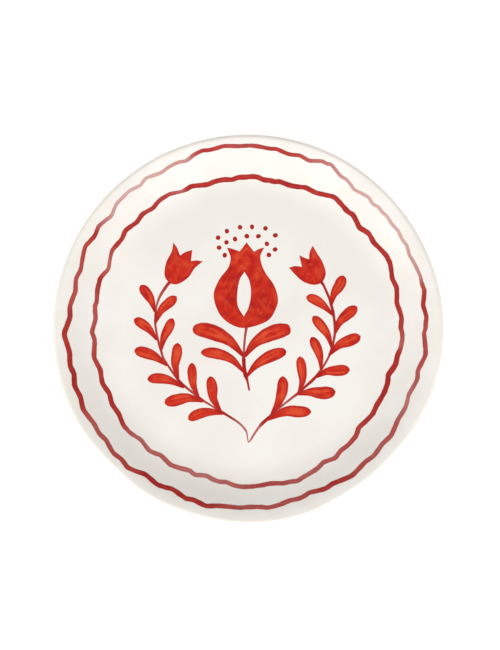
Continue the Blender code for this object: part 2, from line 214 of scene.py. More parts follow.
def shape_with(bench, name, chains, inputs, closed=False, marks=()):
    """Runs a geometry tree on chains of points and keeps the result as a plain mesh, in a new object."""
    points, links = [], []
    for chain in chains:
        first = len(points)
        points += chain
        links += [(i, i + 1) for i in range(first, len(points) - 1)]
        if closed:
            links.append((len(points) - 1, first))
    mesh = bpy.data.meshes.new(name)
    mesh.from_pydata(points, links, [])
    for mark, values in dict(marks).items():
        mesh.attributes.new(mark, "FLOAT", "POINT").data.foreach_set("value", values)
    drawn = bpy.data.objects.new(name + "_drawn", mesh)
    scene.collection.objects.link(drawn)
    modifier = drawn.modifiers.new(bench.tree.name, "NODES")
    modifier.node_group = bench.tree
    for item in bench.tree.interface.items_tree:
        if item.in_out == "INPUT" and item.name in inputs:
            modifier[item.identifier] = inputs[item.name]
    graph = bpy.context.evaluated_depsgraph_get()
    result = drawn.evaluated_get(graph)
    shaped = bpy.data.meshes.new_from_object(result, preserve_all_data_layers=True, depsgraph=graph)
    bpy.data.objects.remove(drawn)
    shaped.name = name
    piece = bpy.data.objects.new(name, shaped)
    scene.collection.objects.link(piece)
    return piece


def stands_for(piece, slot, *nodes):
    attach(piece, "root")
    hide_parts(*nodes)


def face_height(radius):
    """The height of the glazed upper face. Its slope grows to the steepest ring and eases off to the lip."""
    if radius <= FLOOR_RADIUS:
        return floor_height
    rise = STEEPEST_RADIUS - FLOOR_RADIUS
    along = min(radius - FLOOR_RADIUS, rise)
    height = STEEPEST_SLOPE * (along / 2 - rise * math.sin(math.pi * along / rise) / (2 * math.pi))
    beyond = max(radius - STEEPEST_RADIUS, 0)
    run = plate_radius - STEEPEST_RADIUS
    eased = beyond / 2 - run * math.sin(math.pi * beyond / run) / (2 * math.pi)
    return floor_height + height + STEEPEST_SLOPE * (beyond - (1 - LIP_SLOPE_SHARE) * eased)


def face_angle(radius):
    step = 0.01 * MM
    return math.atan2(face_height(radius + step) - face_height(radius - step), 2 * step)


def thickness(radius):
    """The wall thins evenly from the floor's edge to the lip."""
    floor = floor_height - recess_ceiling
    share = max(radius - FLOOR_RADIUS, 0) / (plate_radius - FLOOR_RADIUS)
    return floor + share * (LIP_THICKNESS - floor)


def in_wall(radius, depth):
    """The point this deep in the wall, square to its upper face, as (radius, height)."""
    angle = face_angle(radius)
    return radius + math.sin(angle) * depth, face_height(radius) - math.cos(angle) * depth


def arc(centre, radius, start, end, steps):
    angles = [math.radians(start + (end - start) * i / steps) for i in range(steps + 1)]
    return [(centre[0] + radius * math.cos(a), centre[1] + radius * math.sin(a)) for a in angles]


RING_STEP = 4 * MM  # from one row of points to the next on the flat parts
UNDER_RINGS = (86 * MM, 82 * MM)  # the rows between the wall's back and the foot
WALL_ROWS = 36

lip_edge = plate_radius - LIP_THICKNESS / 2 * (1 + math.sin(face_angle(plate_radius)))
floor_rings = [i * RING_STEP for i in range(22)]
ceiling_rings = floor_rings[16::-1]
wall_rings = [FLOOR_RADIUS + (lip_edge - FLOOR_RADIUS) * i / WALL_ROWS for i in range(WALL_ROWS + 1)]


def plate_outline(inset):
    """The section of the plate from the middle of its face to the side of its foot, this far in its skin."""
    points = [in_wall(r, inset) for r in floor_rings + wall_rings]
    half = thickness(lip_edge) / 2
    tilt = math.degrees(face_angle(lip_edge))
    points += arc(in_wall(lip_edge, half), half - inset, 90 + tilt, tilt - 90, 20)[1:-1]
    points += [in_wall(r, thickness(r) - inset) for r in wall_rings[::-1]]
    fillet = (foot_outside + FOOT_FILLET, recess_ceiling - FOOT_FILLET)
    points += [(r, recess_ceiling + inset) for r in UNDER_RINGS]
    return points + arc(fillet, FOOT_FILLET + inset, 90, 180, 8)


def recess_outline(inset):
    """The section of the hollow inside the foot, from the side of the foot to the middle of its ceiling."""
    fillet = (foot_inside - FOOT_FILLET, recess_ceiling - FOOT_FILLET)
    ceiling = [(r, recess_ceiling + inset) for r in ceiling_rings]
    return arc(fillet, FOOT_FILLET + inset, 0, 90, 8) + ceiling


# How the wall warped in the kiln, and how close the throwing rings are, as noise scales to the metre.
WARP_PHASE = 1.1
WARP_SCALE = 14.0
RIPPLE_SCALE = 260.0

# Turns a section about the Z axis, then lets the lip wander from its circle and the wall undulate.
wheel, wheel_in = new_tree(
    "thrown_on_the_wheel",
    {"Turn steps": "Int", "Lip wander": "Float", "Lip lift": "Float", "Throwing rings": "Float",
     "Seed": "Float", "Finish": "Material"},
)
section = wheel_in.out("Geometry")
rows = wheel.node("GeometryNodeAttributeDomainSize", {}, {0: section})
sheet = wheel.node(
    "GeometryNodeMeshGrid", {},
    {"Size X": 1.0, "Size Y": 1.0, "Vertices X": rows, "Vertices Y": wheel_in.out("Turn steps") + 1},
)
here = wheel.node("GeometryNodeInputPosition")
row_share, turn_share, _ = wheel.split(here)
row = wheel.maths("ROUND", (row_share + 0.5) * (rows - 1))
sample = wheel.node(
    "GeometryNodeSampleIndex", {"data_type": "FLOAT_VECTOR"},
    {"Geometry": section, "Value": here, "Index": row},
)
section_radius, _, section_height = wheel.split(sample)
turn = (turn_share + 0.5) * math.tau
outward = (section_radius - FLOOR_RADIUS) / (plate_radius - FLOOR_RADIUS)
wall_share = outward.between(0, 1)
stations = [(angle / 360, percent) for angle, percent in LIP_WANDER]
wander = wheel.node("ShaderNodeFloatCurve", {"stations": stations}, {"Value": turn_share + 0.5})
turned_radius = section_radius * (1 + wander * wall_share * wheel_in.out("Lip wander"))
across_x = turned_radius * wheel.maths("COSINE", turn)
across_y = turned_radius * wheel.maths("SINE", turn)
level = wheel.maths("SINE", turn * 2 + WARP_PHASE)
soft = wheel.noise(wheel.vector(across_x, across_y, 0), WARP_SCALE, 1.0, wheel_in.out("Seed")) - 0.5
ripple = wheel.noise(wheel.vector(section_radius, 0, 0), RIPPLE_SCALE, 1.0, wheel_in.out("Seed")) - 0.5
above_foot = section_height.between(bare_foot_height, recess_ceiling)
lift = (level + soft * 2) * wall_share * wheel_in.out("Lip lift")
sag = lift + ripple * above_foot * wheel_in.out("Throwing rings")
turned = wheel.node(
    "GeometryNodeSetPosition", {},
    {"Geometry": sheet, "Position": wheel.vector(across_x, across_y, section_height + sag)},
)
closed = wheel.node("GeometryNodeMergeByDistance", {}, {"Geometry": turned, "Distance": 0.002 * MM})
end_tree(wheel, closed, wheel_in.out("Finish"))

WHEEL = {
    "Turn steps": 240, "Lip wander": 0.01, "Lip lift": 0.3 * MM, "Throwing rings": 0.06 * MM, "Seed": 3.0,
}


def thrown(name, outline, finish):
    """A turned piece from the outline of its section, which runs down its outer side."""
    chain = [(radius, 0, height) for radius, height in outline]
    return shape_with(wheel, name, [chain], {**WHEEL, "Finish": finish})


# Buff clay with darker grains of grog, and a toasted line where the glaze stops above the foot.
clay, bench, shader = new_material("bare_clay", 0.85)
place = bench.node("ShaderNodeTexCoord").out("Object")
height = bench.split(place)[2]
tone = bench.mixed(bench.noise(place, 90.0, 4.0), colour(214, 196, 168), colour(232, 217, 192))
grains = bench.noise(place, 2600.0, 1.0).between(0.64, 0.72)
tone = bench.mixed(grains * 0.55, tone, colour(150, 118, 86))
tone = bench.mixed(height.between(0.5 * MM, bare_foot_height) * 0.6, tone, colour(186, 140, 96))
bench.tree.links.new(tone.socket, shader.inputs["Base Color"])
rough_skin = bench.noise(place, 1800.0, 3.0)
bump = bench.node("ShaderNodeBump", {}, {"Strength": 0.35, "Distance": 0.15 * MM, "Height": rough_skin})
bench.tree.links.new(bump.socket, shader.inputs["Normal"])

clay_inset = GLAZE_THICKNESS + UNDER_GLAZE
foot = arc((foot_outside - clay_inset - FOOT_ROUNDING, FOOT_ROUNDING), FOOT_ROUNDING, 0, -90, 6)
foot += arc((foot_inside + clay_inset + FOOT_ROUNDING, FOOT_ROUNDING), FOOT_ROUNDING, -90, -180, 6)
clay_body = thrown("clay_body_thrown", plate_outline(clay_inset) + foot + recess_outline(clay_inset), clay)
stands_for(clay_body, "bare_clay", "clay_body")

# ---- The glaze ----
# An opaque warm white glaze, poured over the face and the back and wiped off the foot, where it ends in a
# rounded bead. It is glossy, a little uneven, thinner on the lip and thicker where it pooled at the foot,
# and its creamier tone on the wall is partly painted warm shade.

SPECK = Vector((111, -15.6)) * MM  # a grain of iron that came through
SPECK_RADIUS = 0.45 * MM
SPECK_CORE = 0.2 * MM
POOL_AND_SHADE_START = 86 * MM  # the glaze pooled on the wall, with painted warm shade, from here
POOL_AND_SHADE_FULL = 112 * MM  # to here

glaze_white, bench, shader = new_material("white_glaze", 0.14)
place = bench.node("ShaderNodeTexCoord").out("Object")
x, y, height = bench.split(place)
radius = (x ** 2 + y ** 2) ** 0.5
cloud = bench.noise(place, 22.0, 3.0)
tone = bench.mixed(cloud.between(0.3, 0.7), colour(238, 233, 226), colour(243, 239, 233))
lip_share = radius.between(plate_radius - 3.5 * MM, plate_radius - 0.5 * MM)
tone = bench.mixed(lip_share * 0.45, tone, colour(240, 232, 218))
# The wall turns creamier: the glaze pooled there, and the wall's warm shade is also painted into the colour.
pooled_and_warm_shade = bench.noise(place, 60.0, 2.0).between(0.35, 0.75) * radius.between(POOL_AND_SHADE_START, POOL_AND_SHADE_FULL)
tone = bench.mixed(pooled_and_warm_shade * 0.45, tone, colour(235, 230, 217))
speck = ((x - SPECK.x) ** 2 + (y - SPECK.y) ** 2) ** 0.5
tone = bench.mixed(speck.between(SPECK_RADIUS, SPECK_CORE) * 0.6, tone, colour(150, 144, 138))
bench.tree.links.new(tone.socket, shader.inputs["Base Color"])
bench.tree.links.new((0.1 + cloud * 0.08).socket, shader.inputs["Roughness"])
peel = bench.noise(place, 180.0, 2.0)
bump = bench.node("ShaderNodeBump", {}, {"Strength": 0.12, "Distance": 0.08 * MM, "Height": peel})
bench.tree.links.new(bump.socket, shader.inputs["Normal"])

bead = GLAZE_THICKNESS / 2
outside_bead = arc((foot_outside - bead, bare_foot_height + bead), bead, 0, -180, 8)
glaze_section = plate_outline(0) + outside_bead + plate_outline(GLAZE_THICKNESS)[::-1]
glaze = thrown("glaze_coat_poured", glaze_section, glaze_white)
stands_for(glaze, "white_glaze", "glaze_coat")

inside_bead = arc((foot_inside + bead, bare_foot_height + bead), bead, 0, -180, 8)
recess_section = recess_outline(GLAZE_THICKNESS)[::-1] + inside_bead + recess_outline(0)
recess_glaze = thrown("foot_recess_glaze_poured", recess_section, glaze_white)
stands_for(recess_glaze, "white_glaze", "foot_recess_glaze")

# ---- The wavy lines ----
# Two lines of red colour, brushed freehand while the plate turned slowly: one low on the wall and one
# high on it. The colour is thick where the loaded brush came down and pale where it ran dry. Where glare
# on the glaze would wash out the outer line, it is painted pale too, as a painted highlight.

SINK = 0.1 * MM  # how deep the colour has melted into the glaze
PAINT_SHINE = 0.3  # the colour shines less than the bare glaze

# A thin wash of the red is orange, a well loaded brush leaves it deep, and a line is the deepest.
RED = colour(198, 34, 15)
LIGHT_RED = colour(226, 84, 47)
DEEP_RED = colour(164, 12, 16)
LINE_RED = colour(171, 24, 17)
LINE_LIGHT = colour(194, 56, 40)
LINE_DEEP = colour(140, 12, 14)
# The pale red of a dry brush, also used as painted glare on the outer line.
PALE_DRY_AND_GLARE_RED = colour(208, 170, 164)

# Each line's width in mm and how pale it is, for angles from +X round to the left. The paleness is how dry
# the brush was, and on the outer line from about 17 to 64 and 110 to 139 degrees it is painted glare.
OUTER_LINE_TOUCH_AND_GLARE = (
    (0, 3, 0.1), (9, 3.2, 0), (14, 3, 0.1), (17, 2.5, 0.55), (30, 2.3, 0.85), (45, 2.3, 0.9),
    (54, 2.3, 0.75), (64, 2.6, 0.4), (72, 2.7, 0.1), (80, 2.8, 0), (92, 2.9, 0.1), (106, 2.9, 0),
    (110, 2.5, 0.6), (128, 2.4, 0.9), (139, 2.4, 0.7), (148, 3, 0), (160, 2.9, 0.1), (170, 3.2, 0.1),
    (180, 3.6, 0), (205, 3.6, 0), (213, 3.2, 0.2), (235, 3.4, 0), (255, 3.5, 0), (268, 3.2, 0.15),
    (285, 3.2, 0.15), (300, 3.6, 0), (315, 3.3, 0.2), (325, 3.4, 0.15), (335, 2.9, 0.35), (350, 3.2, 0.1),
    (360, 3, 0.1),
)
INNER_LINE_TOUCH = (
    (0, 3.5, 0.05), (10, 3.4, 0), (30, 3.4, 0), (45, 3.7, 0), (60, 3.4, 0), (72, 3.6, 0), (90, 3.6, 0),
    (113.5, 3.5, 0), (114.5, 2.2, 0.3), (117, 2.4, 0.2), (121, 3, 0.05), (135, 3.3, 0), (148, 3.3, 0),
    (152, 2.7, 0.2), (157, 2.7, 0.2), (161, 3.3, 0), (172, 3.2, 0.15), (186, 3.3, 0.1), (200, 3.6, 0),
    (216, 3.5, 0), (224, 3.1, 0.25), (240, 3.4, 0.2), (254, 3.3, 0.35), (266, 3.3, 0.2), (275, 3.3, 0.1),
    (292, 3.4, 0.22), (304, 3.3, 0.15), (318, 3.5, 0.05), (330, 3.7, 0), (345, 4, 0), (351, 3.7, 0),
    (354, 3, 0.2), (360, 3.5, 0.05),
)
FEATHER = 0.55  # how far the colour fades where it bleeds into the glaze at its edge

# Lays a stroke of paint along a curve whose points carry half_width. The stroke is a thin closed body:
# its edges lie on the glaze, its top is raised by the lift and its back is sunk in the glaze. A crisp rim
# keeps the shading of its top flat, because paint this thin has no side to be seen.
STROKE_INPUTS = {
    "Lift": "Float", "Round start": "Float", "Round end": "Float", "Unsteadiness": "Float", "Seed": "Float",
    "Glaze": "Object", "Paint": "Material",
}
stroke, stroke_in = new_tree("laid_stroke", STROKE_INPUTS)
curve = stroke_in.out("Geometry")
parameter = stroke.node("GeometryNodeSplineParameter")
from_start = parameter.out("Length")
whole_length = stroke.node("GeometryNodeSplineLength")
start_share = (from_start + 0.001 * MM) / (stroke_in.out("Round start") + 0.001 * MM)
end_share = (whole_length - from_start + 0.001 * MM) / (stroke_in.out("Round end") + 0.001 * MM)
start_turn = 1 - stroke.maths("MINIMUM", start_share, 1)
end_turn = 1 - stroke.maths("MINIMUM", end_share, 1)
rounded = ((1 - start_turn * start_turn) * (1 - end_turn * end_turn)) ** 0.5
shake = stroke.noise(stroke.node("GeometryNodeInputPosition"), 220.0, 2.0, stroke_in.out("Seed")) - 0.5
wide = stroke.node("GeometryNodeInputNamedAttribute", {}, {"Name": "half_width"})
reach = wide * (1 + shake * stroke_in.out("Unsteadiness")) * rounded
for mark, value in (("along", from_start), ("share", parameter), ("seed", stroke_in.out("Seed"))):
    sockets = {"Geometry": curve, "Name": mark, "Value": value}
    curve = stroke.node("GeometryNodeStoreNamedAttribute", {}, sockets)
curve = stroke.node("GeometryNodeSetCurveNormal", {"mode": "Z_UP"}, {"Curve": curve})
loop = stroke.node("GeometryNodeCurvePrimitiveCircle", {}, {"Resolution": 16, "Radius": 1.0})
loop_x, loop_y, _ = stroke.split(stroke.node("GeometryNodeInputPosition"))
for mark, value in (("across", loop_x), ("side", loop_y)):
    sockets = {"Geometry": loop, "Name": mark, "Value": value}
    loop = stroke.node("GeometryNodeStoreNamedAttribute", {}, sockets)
sockets = {"Geometry": loop, "Position": stroke.vector(loop_x, 0, 0)}
flat_loop = stroke.node("GeometryNodeSetPosition", {}, sockets)
ribbon = stroke.node(
    "GeometryNodeCurveToMesh", {},
    {"Curve": curve, "Profile Curve": flat_loop, "Scale": reach, "Fill Caps": True},
)
place_x, place_y, _ = stroke.split(stroke.node("GeometryNodeInputPosition"))
surface = stroke.node("GeometryNodeObjectInfo", {}, {"Object": stroke_in.out("Glaze")}).out("Geometry")
hit = stroke.node(
    "GeometryNodeRaycast", {},
    {"Target Geometry": surface, "Source Position": stroke.vector(place_x, place_y, 0.1),
     "Ray Direction": (0, 0, -1), "Ray Length": 1.0},
).out("Hit Position")
side = stroke.node("GeometryNodeInputNamedAttribute", {}, {"Name": "side"})
above = stroke.maths("MAXIMUM", side, 0) ** 0.5 * stroke_in.out("Lift")
below = stroke.maths("MINIMUM", side, 0) * SINK
laid = stroke.node(
    "GeometryNodeSetPosition", {},
    {"Geometry": ribbon, "Position": stroke.vector(place_x, place_y, stroke.split(hit)[2] + above + below)},
)
sealed = stroke.node("GeometryNodeMergeByDistance", {}, {"Geometry": laid, "Distance": 0.001 * MM})
at_rim = stroke.maths("LESS_THAN", abs(side), 0.1)
crisp = stroke.node(
    "GeometryNodeSetShadeSmooth", {"domain": "EDGE"},
    {"Geometry": sealed, "Selection": at_rim, "Shade Smooth": False},
)
end_tree(stroke, crisp, stroke_in.out("Paint"))


def drawn_curve(bench, given):
    """The drawn chain of points as a smooth curve with a point at every spacing."""
    chain = bench.node("GeometryNodeMeshToCurve", {}, {"Mesh": given.out("Geometry")})
    smooth = bench.node("GeometryNodeCurveSplineType", {"spline_type": "CATMULL_ROM"}, {"Curve": chain})
    sockets = {"Curve": smooth, "Length": given.out("Spacing")}
    return bench.node("GeometryNodeResampleCurve", {"mode": "LENGTH"}, sockets)


def end_stroke(bench, given, curve):
    """Hands the curve and the inputs on to the stroke's own tree."""
    sockets = {"Geometry": curve, **{name: given.out(name) for name in STROKE_INPUTS}}
    laid = bench.node("GeometryNodeGroup", {"node_tree": stroke.tree}, sockets)
    bench.node("NodeGroupOutput", {}, {"Geometry": laid})


# A line's points carry its half_width and how pale it is there: how dry the brush was, and on the outer line
# also painted glare.
line_tree, line_in = new_tree("brushed_line", {"Spacing": "Float", **STROKE_INPUTS})
end_stroke(line_tree, line_in, drawn_curve(line_tree, line_in))


def red_paint(bench, shader, tones, hairs, edge, streak, depth, dryness_and_glare=0.0):
    """Finishes a red paint in its body, light and deep tones. Each wire goes from 0 to 1: the marks of the
    hairs, how near the edge is, where the brush left a light streak, where it pooled, and how pale it is
    where it ran dry, where it bled at its edge and where glare is painted on."""
    body, light, deep = tones
    place = bench.node("ShaderNodeTexCoord").out("Object")
    cloud = bench.noise(place, 160.0, 3.0)
    tone = bench.mixed(cloud.between(0.45, 0.7) * 0.4, body, light)
    tone = bench.mixed(cloud.between(0.48, 0.3) * 0.6, tone, deep)
    tone = bench.mixed(streak, tone, light)
    tone = bench.mixed(edge, tone, deep)
    tone = bench.mixed(depth, tone, deep)
    tone = bench.mixed(dryness_and_glare, tone, PALE_DRY_AND_GLARE_RED)
    bench.tree.links.new(tone.socket, shader.inputs["Base Color"])
    bench.tree.links.new((0.13 + hairs * 0.12).socket, shader.inputs["Roughness"])
    ridges = {"Strength": 0.3, "Distance": 0.04 * MM, "Height": hairs + cloud * 0.5}
    bench.tree.links.new(bench.node("ShaderNodeBump", {}, ridges).socket, shader.inputs["Normal"])
    shader.inputs["Specular IOR Level"].default_value = PAINT_SHINE


def marks_of(bench, *names):
    """The marks that a stroke or an area of paint carries on its points."""
    return [bench.node("ShaderNodeAttribute", {"attribute_name": name}).out("Fac") for name in names]


line_paint, bench, shader = new_material("red_line_paint", 0.18)
across, along, seed, dry = marks_of(bench, "across", "along", "seed", "dry")
hairs = bench.noise(bench.vector(along * 60, across * 1.6, seed * 9.7), 1.0, 3.0)
edge = abs(across).between(0.45, 0.8) * 0.45
streak = hairs.between(0.45, 0.75) * (1 - abs(across)) * 0.6
# Paler where the brush ran dry, at the feathered edge, and where glare on the outer line is painted on.
dryness_and_glare = dry * (0.6 + hairs * 0.8) + abs(across).between(0.8, 1.0) * FEATHER
line_tones = (LINE_RED, LINE_LIGHT, LINE_DEEP)
red_paint(bench, shader, line_tones, hairs, edge, streak, hairs.between(0.5, 0.25) * 0.5, dryness_and_glare)


def ring_route(node):
    """The middle of a ring-shaped CAD node, as (degrees, radius) all the way round."""
    radii = {}
    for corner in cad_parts[node].data.vertices:
        angle = round(math.degrees(math.atan2(corner.co.y, corner.co.x)), 3) % 360
        radii.setdefault(angle, []).append(corner.co.xy.length)
    return [(angle, sum(radii[angle]) / len(radii[angle])) for angle in sorted(radii)]


def touch_at(angle, touches):
    """The width and dryness at an angle, between the two stations that it lies between."""
    for (low, *first), (high, *second) in zip(touches, touches[1:]):
        if low <= angle <= high:
            part = (angle - low) / (high - low)
            return [a + (b - a) * part for a, b in zip(first, second)]


def wavy_line(name, node, touches, seed):
    route = ring_route(node)
    points = [(r * math.cos(math.radians(a)), r * math.sin(math.radians(a)), 0) for a, r in route]
    widths, dryness_and_glare = zip(*[touch_at(angle, touches) for angle, _ in route])
    piece = shape_with(
        line_tree, name, [points],
        {"Spacing": 0.6 * MM, "Lift": 0.05 * MM, "Round start": 0.0, "Round end": 0.0, "Unsteadiness": 0.5,
         "Seed": seed, "Glaze": glaze, "Paint": line_paint},
        closed=True,
        marks={"half_width": [w / 2 * MM for w in widths], "dry": dryness_and_glare},
    )
    stands_for(piece, "red_paint", node)


wavy_line("outer_wavy_line_brushed", "outer_wavy_line", OUTER_LINE_TOUCH_AND_GLARE, 1.0)
wavy_line("inner_wavy_line_brushed", "inner_wavy_line", INNER_LINE_TOUCH, 2.0)

# ---- The branches and the stem ----
# Three thin lines, drawn with the point of the brush: the stem of the fruit, and the two branches that
# meet in a V below it. They were drawn first, so that the leaves start on them.

# Each point is x and y in mm on the floor, the line's width in mm there, and how dry the brush was.
STEM = (
    (-0.8, 3, 2, 0), (-1.2, 0.5, 2, 0.05), (-2.2, -6.6, 1.7, 0.15), (-2.9, -16.6, 1.6, 0.1),
    (-3, -20.5, 2.6, 0), (-2.7, -25.8, 2.8, 0), (-2, -31, 2.9, 0), (-1.2, -33.6, 2.6, 0),
    (-0.3, -36.5, 1.7, 0), (1, -43.2, 1.4, 0.05),
)
LEFT_BRANCH = (
    (-53.8, 35.5, 2.4, 0), (-55.4, 33.2, 2.4, 0), (-57.3, 31, 2.3, 0.05), (-62, 23.5, 2.1, 0.15),
    (-64.5, 16, 1.5, 0.25), (-64.9, 11, 2, 0), (-65.1, 2.9, 1.7, 0.05), (-63, -8.3, 1.7, 0.1),
    (-60.9, -15.5, 1.8, 0.05), (-59.1, -20.5, 1.6, 0.1), (-53.5, -29.2, 1.7, 0.05), (-47.1, -37.4, 2, 0),
    (-38.5, -44.6, 1.8, 0.1), (-33.5, -48.6, 2, 0), (-26, -53.3, 1.5, 0.15), (-19, -57.6, 2, 0),
    (-13.5, -60.9, 1.8, 0), (-6.5, -65.5, 1.6, 0.25), (-2.2, -69.9, 1.5, 0.3), (-0.8, -72.9, 1.2, 0.4),
    (-0.2, -76.4, 1, 0.4), (0.3, -79.6, 0.8, 0.3),
)
RIGHT_BRANCH = (
    (51, 35, 2.1, 0), (52.2, 33, 2.1, 0), (53.4, 31.2, 2, 0.05), (57.6, 21.5, 2, 0), (58.7, 17.5, 2.3, 0),
    (60.4, 9.7, 2.1, 0), (61.3, -0.5, 2, 0.05), (59.9, -9.6, 1.9, 0.05), (58, -16, 2, 0),
    (55.4, -21.9, 1.7, 0.1), (49.5, -31, 2, 0), (45, -36, 2.3, 0), (40.4, -40.1, 2, 0), (35, -45, 2.1, 0),
    (31, -48, 1.8, 0.1), (22, -55.2, 1.7, 0.15), (16, -60.8, 2.4, 0), (10.5, -65.6, 2.6, 0),
    (7.5, -69, 1.9, 0.3), (5, -72.5, 1.7, 0.3), (2.8, -76, 1.5, 0.25), (1.5, -78.2, 1.1, 0.4),
    (0.6, -79.3, 0.8, 0.5),
)


def on_floor(points):
    return [(x * MM, y * MM, 0) for x, y, *_ in points]


def thin_line(name, node, points, seed):
    piece = shape_with(
        line_tree, name, [on_floor(points)],
        {"Spacing": 0.3 * MM, "Lift": 0.05 * MM, "Round start": 0.6 * MM, "Round end": 0.6 * MM,
         "Unsteadiness": 0.5, "Seed": seed, "Glaze": glaze, "Paint": line_paint},
        marks={"half_width": [w / 2 * MM for *_, w, _ in points], "dry": [dry for *_, dry in points]},
    )
    stands_for(piece, "red_paint", node)


thin_line("pomegranate_stem_brushed", "pomegranate_stem", STEM, 3.0)
thin_line("left_branch_brushed", "left_branch", LEFT_BRANCH, 4.0)
thin_line("right_branch_brushed", "right_branch", RIGHT_BRANCH, 5.0)

# ---- The leaves ----
# Twenty-six leaves, each pressed down in one touch: the loaded brush lands at the round end and is drawn
# in and lifted to the root. The colour runs to the edges and the root and leaves a light streak inside.

# The half-width of a leaf along its length, both as shares.
LEAF_SHAPE = (
    (0, 0), (0.02, 0.34), (0.05, 0.55), (0.1, 0.77), (0.17, 0.93), (0.26, 1), (0.4, 0.96), (0.55, 0.81),
    (0.7, 0.6), (0.85, 0.4), (1, 0.2),
)

# How square the end of a leaf is, where it isn't round.
BLUNT_ENDS = {"stem_leaf_upper_left": 0.2, "stem_leaf_upper_right": 0.35, "stem_leaf_lower_right": 0.2}
LEAF_ROUNDING = 1.5 * MM

# Each leaf is its width in mm, then its route from its round end to its root, in mm on the floor.
LEAVES = {
    "stem_leaf_upper_left": (11.2, (-39, 0.1), (-27.7, -1.1), (-13.5, -7.7), (-3.2, -18.8)),
    "stem_leaf_upper_right": (11.2, (30.1, 0.5), (17.5, -2.4), (5.6, -8.9), (-2.4, -19.3)),
    "stem_leaf_lower_left": (7.9, (-33.2, -16.2), (-22.3, -16.9), (-11.3, -21.2), (-2.2, -30.8)),
    "stem_leaf_lower_right": (8.6, (27, -15.2), (16, -18.8), (6, -24.9), (-1, -33.4)),
    "left_outer_leaf_1": (7.3, (-76, 31.3), (-72.4, 27), (-68.2, 20.5), (-65.3, 12)),
    "left_outer_leaf_2": (7.1, (-80.2, 7.4), (-75, 4.4), (-69.3, -0.2), (-63.8, -7.8)),
    "left_outer_leaf_3": (8.2, (-79.9, -14.6), (-72.3, -16.4), (-65, -19.4), (-56.2, -25.6)),
    "left_outer_leaf_4": (7.5, (-70.6, -35.2), (-63, -34.4), (-54.5, -36), (-44.6, -41)),
    "left_outer_leaf_5": (8.5, (-58.5, -51.8), (-51, -49.9), (-42, -48.2), (-31, -50.7)),
    "left_outer_leaf_6": (7.5, (-41.7, -63.6), (-35.5, -59.8), (-27, -58), (-15.5, -59.2)),
    "left_inner_leaf_1": (7.4, (-50.3, 23.4), (-55.5, 18.9), (-61, 13.6), (-65, 4.7)),
    "left_inner_leaf_2": (7.1, (-53, 8), (-55.7, 1.2), (-59.2, -6), (-61.1, -15.5)),
    "left_inner_leaf_3": (7.5, (-49.5, -9.4), (-49.9, -17), (-51, -25), (-48.7, -35.3)),
    "left_inner_leaf_4": (6.7, (-39.3, -23.4), (-39.1, -32), (-38, -40), (-34, -48.5)),
    "left_inner_leaf_5": (7.7, (-26.5, -32.9), (-25.1, -41), (-24, -49), (-18.6, -58)),
    "right_outer_leaf_1": (7.9, (67.6, 38.3), (64.7, 31.5), (60.6, 24.8), (58.7, 17)),
    "right_outer_leaf_2": (8.1, (77, 16.2), (70.2, 10.8), (64.6, 5.2), (61.2, -3)),
    "right_outer_leaf_3": (8.4, (79.3, -4.7), (71.3, -7.9), (64, -11.1), (57.3, -18)),
    "right_outer_leaf_4": (7.9, (71.6, -28.2), (63, -29), (55, -29.8), (47.8, -33.8)),
    "right_outer_leaf_5": (9.1, (61.5, -43.8), (52.5, -44.7), (43.5, -44.1), (35, -45.6)),
    "right_outer_leaf_6": (8.3, (44.4, -57.8), (36, -57.8), (26, -57.8), (12.5, -63.9)),
    "right_inner_leaf_1": (7.2, (41, 23.1), (47.3, 21), (54, 16.2), (60, 9.8)),
    "right_inner_leaf_2": (7.2, (45.6, 9.4), (51, 3.2), (56.2, -4.2), (58.8, -13)),
    "right_inner_leaf_3": (7.1, (44.6, -5.3), (48.9, -13.9), (50.9, -21), (51.2, -28.5)),
    "right_inner_leaf_4": (7.1, (36.3, -18.9), (37.8, -28), (38.2, -36.5), (35.2, -45)),
    "right_inner_leaf_5": (8.1, (24.4, -32.8), (24.2, -42), (21.5, -51), (16, -60.5)),
}

leaf_tree, leaf_in = new_tree("pressed_leaf", {
    "Width": "Float", "Bluntness": "Float", "Spacing": "Float", **STROKE_INPUTS})
curve = drawn_curve(leaf_tree, leaf_in)
part = leaf_tree.node("GeometryNodeSplineParameter")
press = leaf_tree.node("ShaderNodeFloatCurve", {"stations": LEAF_SHAPE}, {"Value": part})
press = press + (1 - press) * part.between(0.22, 0.0) * leaf_in.out("Bluntness")
half = press * leaf_in.out("Width") / 2
sockets = {"Geometry": curve, "Name": "half_width", "Value": half}
end_stroke(leaf_tree, leaf_in, leaf_tree.node("GeometryNodeStoreNamedAttribute", {}, sockets))

leaf_paint, bench, shader = new_material("red_leaf_paint", 0.18)
across, along, share, seed = marks_of(bench, "across", "along", "share", "seed")
hairs = bench.noise(bench.vector(along * 55, across * 2.2, seed * 7.3), 1.0, 3.0)
pool = bench.noise(bench.node("ShaderNodeTexCoord").out("Object"), 90.0, 2.0)
edge = abs(across).between(0.5, 0.9) * 0.5
inside = share.between(0.05, 0.25) * share.between(0.85, 0.5)
streak = hairs.between(0.4, 0.62) * (1 - abs(across).between(0.3, 0.9)) * inside * 0.8
depth = share.between(0.6, 0.95) * 0.6 + share.between(0.1, 0.0) * 0.4 + pool.between(0.55, 0.8) * 0.3
feather = abs(across).between(0.88, 1.0) * FEATHER
red_paint(bench, shader, (RED, LIGHT_RED, DEEP_RED), hairs, edge, streak, depth, feather)

